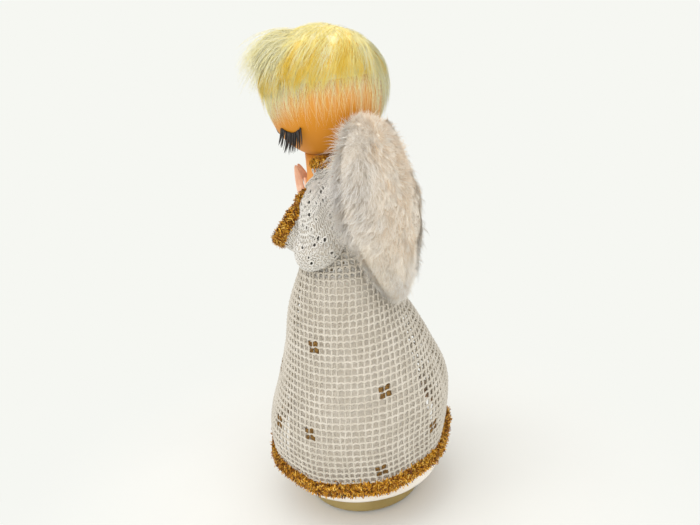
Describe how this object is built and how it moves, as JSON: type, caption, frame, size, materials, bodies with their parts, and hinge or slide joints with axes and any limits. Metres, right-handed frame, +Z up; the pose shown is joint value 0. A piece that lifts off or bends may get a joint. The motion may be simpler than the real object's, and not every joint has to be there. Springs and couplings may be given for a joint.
{
  "type": "musical angel figurine",
  "caption": "Praying angel doll in a net dress with fur wings that revolves on its round foot while a wind-up comb movement in the body plays.",
  "frame": {"origin": "on the floor at the centre of the foot, in the middle of the felt pad's underside", "axes": "+Z up along the axis the figure turns on, the figure faces -Y and its left side is +X"},
  "size_m": [0.095, 0.0947, 0.2305],
  "materials": {
    "felt": "dark green wool felt",
    "ivory_plastic": "yellowed ivory plastic, slightly glossy",
    "steel": "bright steel",
    "spring_steel": "blued spring steel",
    "brass": "turned brass",
    "zinc": "die-cast zinc, matt grey",
    "nylon": "natural nylon",
    "card": "rolled grey-brown card",
    "wood": "plain pine",
    "skin": "painted composition, satin peach",
    "lash": "black fibre",
    "blond_fur": "pale yellow long pile",
    "white_fur": "cream white pile",
    "hand_plastic": "pink plastic",
    "lace": "white open lace",
    "white_cloth": "white taffeta",
    "net": "off-white net with small gold motifs",
    "tinsel": "gold foil bristles on cord"
  },
  "bodies": {
    "base": {"felt_pad": "felt", "turn_base": "ivory_plastic", "winding_arbor": "steel", "crown_wheel": "brass", "arbor_clip": "steel"},
    "figure": {"body_cone": "card", "body_floor": "wood", "movement_screw_1": "steel", "movement_screw_2": "steel", "movement_screw_3": "steel", "bedplate": "zinc", "spring_barrel": "steel", "mainspring": "spring_steel", "comb": "steel", "comb_screw_1": "steel", "comb_screw_2": "steel", "governor_bracket": "steel", "bust": "skin", "neck_dowel": "wood", "head": "skin", "lash_left": "lash", "lash_right": "lash", "wig": "blond_fur", "hand_left": "hand_plastic", "hand_right": "hand_plastic", "arm_left": "steel", "arm_right": "steel", "bodice": "lace", "collar_trim": "tinsel", "sleeve_left": "lace", "sleeve_right": "lace", "cuff_trim_left": "tinsel", "cuff_trim_right": "tinsel", "underskirt": "white_cloth", "net_skirt": "net", "hem_trim": "tinsel", "wing_left": "white_fur", "wing_right": "white_fur", "wing_card": "card"},
    "cylinder": {"cylinder_arbor": "steel", "cylinder_pinion": "brass", "pinned_cylinder": "brass", "cylinder_wheel": "brass"},
    "governor": {"governor_arbor": "steel", "governor_pinion": "brass", "governor_worm_wheel": "nylon"},
    "fan": {"governor_worm": "steel", "governor_fan": "nylon"}
  },
  "joints": [
    {"name": "figure_turn", "type": "hinge", "parent": "base", "child": "figure", "pos_m": [0, 0, 0.01485], "axis": [0, 0, 1], "continuous": true},
    {"name": "cylinder_spin", "type": "hinge", "parent": "figure", "child": "cylinder", "pos_m": [0.0234, 0, 0.02867], "axis": [1, 0, 0], "continuous": true},
    {"name": "governor_spin", "type": "hinge", "parent": "figure", "child": "governor", "pos_m": [0.0263, 0.0095, 0.02867], "axis": [1, 0, 0], "continuous": true},
    {"name": "fan_spin", "type": "hinge", "parent": "figure", "child": "fan", "pos_m": [0.0213, 0.0141, 0.02867], "axis": [0, 0, 1], "continuous": true}
  ],
  "couplings": [
    {"joint": "cylinder_spin", "follows": "figure_turn", "ratio": 3},
    {"joint": "governor_spin", "follows": "figure_turn", "ratio": -11.25},
    {"joint": "fan_spin", "follows": "figure_turn", "ratio": 135}
  ]
}
